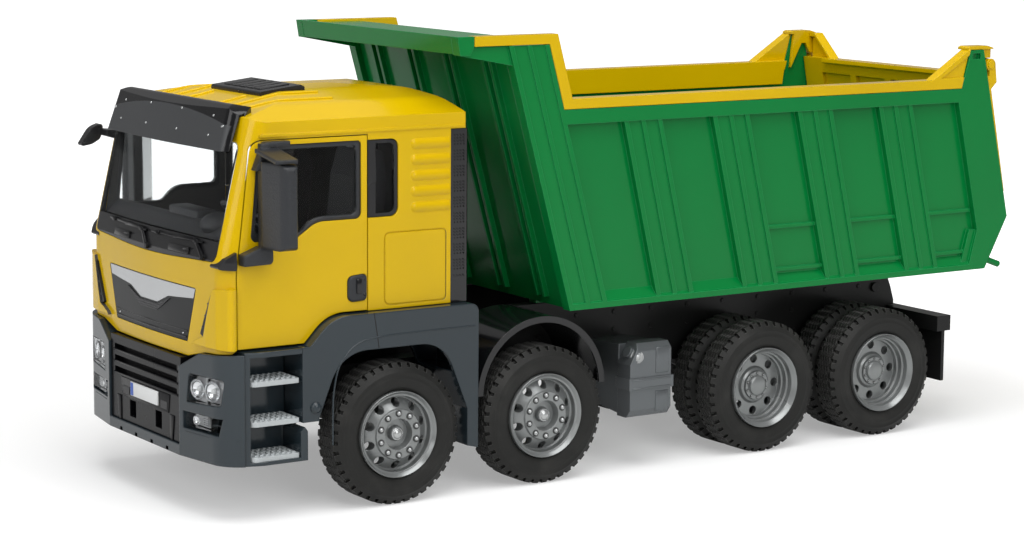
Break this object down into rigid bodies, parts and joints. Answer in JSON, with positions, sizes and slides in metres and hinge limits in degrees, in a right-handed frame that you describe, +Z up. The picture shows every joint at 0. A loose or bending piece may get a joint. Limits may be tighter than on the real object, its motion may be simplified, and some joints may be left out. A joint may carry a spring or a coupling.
{
  "type": "toy tipper truck",
  "caption": "Toy tipper truck at 1:16 scale: cab with opening doors, tipping bed with hanging tailgate, hoist and rolling wheels.",
  "frame": {"origin": "on the floor under the middle of the bounding box", "axes": "+X forwards, +Y to the left side of the cab, +Z up"},
  "size_m": [0.4719, 0.1914, 0.2163],
  "materials": {
    "tyre_black": "matt rubber-like plastic tyres",
    "rim_grey": "silver-grey moulded plastic",
    "frame_black": "black moulded plastic frame",
    "body_yellow": "glossy yellow plastic",
    "bed_green": "satin green plastic",
    "guard_blue_grey": "satin blue-grey plastic",
    "trim_black": "fine-grained black plastic",
    "tank_silver": "silver-grey plastic",
    "window_clear": "clear plastic panes",
    "lamp_clear": "clear plastic lamp lenses",
    "lamp_red": "red plastic lamps",
    "interior_grey": "dark grey interior plastic",
    "rod_grey": "light grey plastic rod"
  },
  "bodies": {
    "chassis": {"chassis_frame": "frame_black", "axles": "frame_black", "rear_beam": "frame_black", "tail_lamps": "lamp_red", "engine_block": "frame_black", "axle_arches": "frame_black", "tank_bodies": "frame_black", "side_tanks": "tank_silver", "mudguards": "guard_blue_grey", "step_boxes": "guard_blue_grey", "step_treads": "tank_silver", "front_bumper": "guard_blue_grey", "headlamps": "lamp_clear", "bumper_grille": "trim_black", "cab_shell": "body_yellow", "cab_glass": "window_clear", "cab_trim": "trim_black", "front_grille": "trim_black", "grille_trim": "tank_silver", "cab_interior": "interior_grey", "seats": "interior_grey", "steering_wheel": "interior_grey", "sun_visor": "trim_black", "roof_hatch": "trim_black", "rear_columns": "frame_black"},
    "door_left": {"door_left": "body_yellow", "door_trim_left": "trim_black", "door_glass_left": "window_clear"},
    "door_right": {"door_right": "body_yellow", "door_trim_right": "trim_black", "door_glass_right": "window_clear"},
    "bed": {"bed_side_left": "bed_green", "bed_side_right": "bed_green", "bed_front": "bed_green", "bed_floor": "bed_green", "side_boards": "body_yellow"},
    "tailgate": {"tailgate": "body_yellow"},
    "hoist_barrel": {"hoist_barrel": "frame_black"},
    "hoist_rod": {"hoist_rod": "rod_grey"},
    "wheel_one_left": {"rim_one_left": "rim_grey", "tyre_one_left": "tyre_black"},
    "wheel_one_right": {"rim_one_right": "rim_grey", "tyre_one_right": "tyre_black"},
    "wheel_two_left": {"rim_two_left": "rim_grey", "tyre_two_left": "tyre_black"},
    "wheel_two_right": {"rim_two_right": "rim_grey", "tyre_two_right": "tyre_black"},
    "wheel_three_left": {"rim_three_left": "rim_grey", "tyres_three_left": "tyre_black"},
    "wheel_three_right": {"rim_three_right": "rim_grey", "tyres_three_right": "tyre_black"},
    "wheel_four_left": {"rim_four_left": "rim_grey", "tyres_four_left": "tyre_black"},
    "wheel_four_right": {"rim_four_right": "rim_grey", "tyres_four_right": "tyre_black"}
  },
  "joints": [
    {"name": "wheel_one_left_roll", "type": "hinge", "parent": "chassis", "child": "wheel_one_left", "pos_m": [0.1425, 0.07, 0.0335], "axis": [0, 1, 0], "continuous": true},
    {"name": "wheel_one_right_roll", "type": "hinge", "parent": "chassis", "child": "wheel_one_right", "pos_m": [0.1425, -0.07, 0.0335], "axis": [0, 1, 0], "continuous": true},
    {"name": "wheel_two_left_roll", "type": "hinge", "parent": "chassis", "child": "wheel_two_left", "pos_m": [0.0605, 0.07, 0.0335], "axis": [0, 1, 0], "continuous": true},
    {"name": "wheel_two_right_roll", "type": "hinge", "parent": "chassis", "child": "wheel_two_right", "pos_m": [0.0605, -0.07, 0.0335], "axis": [0, 1, 0], "continuous": true},
    {"name": "wheel_three_left_roll", "type": "hinge", "parent": "chassis", "child": "wheel_three_left", "pos_m": [-0.0735, 0.07, 0.0335], "axis": [0, 1, 0], "continuous": true},
    {"name": "wheel_three_right_roll", "type": "hinge", "parent": "chassis", "child": "wheel_three_right", "pos_m": [-0.0735, -0.07, 0.0335], "axis": [0, 1, 0], "continuous": true},
    {"name": "wheel_four_left_roll", "type": "hinge", "parent": "chassis", "child": "wheel_four_left", "pos_m": [-0.1515, 0.07, 0.0335], "axis": [0, 1, 0], "continuous": true},
    {"name": "wheel_four_right_roll", "type": "hinge", "parent": "chassis", "child": "wheel_four_right", "pos_m": [-0.1515, -0.07, 0.0335], "axis": [0, 1, 0], "continuous": true},
    {"name": "door_left_swing", "type": "hinge", "parent": "chassis", "child": "door_left", "pos_m": [0.2225, 0.073, 0.12], "axis": [0, 0, -1], "range_deg": [0, 65]},
    {"name": "door_right_swing", "type": "hinge", "parent": "chassis", "child": "door_right", "pos_m": [0.2225, -0.073, 0.12], "axis": [0, 0, 1], "range_deg": [0, 65]},
    {"name": "bed_tip", "type": "hinge", "parent": "chassis", "child": "bed", "pos_m": [-0.181, 0, 0.0706], "axis": [0, -1, 0], "range_deg": [0, 45]},
    {"name": "tailgate_swing", "type": "hinge", "parent": "bed", "child": "tailgate", "pos_m": [-0.2228, 0, 0.192], "axis": [0, 1, 0], "range_deg": [0, 60]},
    {"name": "hoist_turn", "type": "hinge", "parent": "chassis", "child": "hoist_barrel", "pos_m": [-0.13, 0, 0.051], "axis": [0, -1, 0], "range_deg": [0, 54.45]},
    {"name": "hoist_extend", "type": "slide", "parent": "hoist_barrel", "child": "hoist_rod", "axis": [0.9607, 0, 0.2775], "range_m": [0, 0.03799]}
  ],
  "couplings": [
    {"joint": "hoist_turn", "follows": "bed_tip", "ratio": 1.2056},
    {"joint": "hoist_extend", "follows": "bed_tip", "m_per_rad": 0.048118}
  ]
}
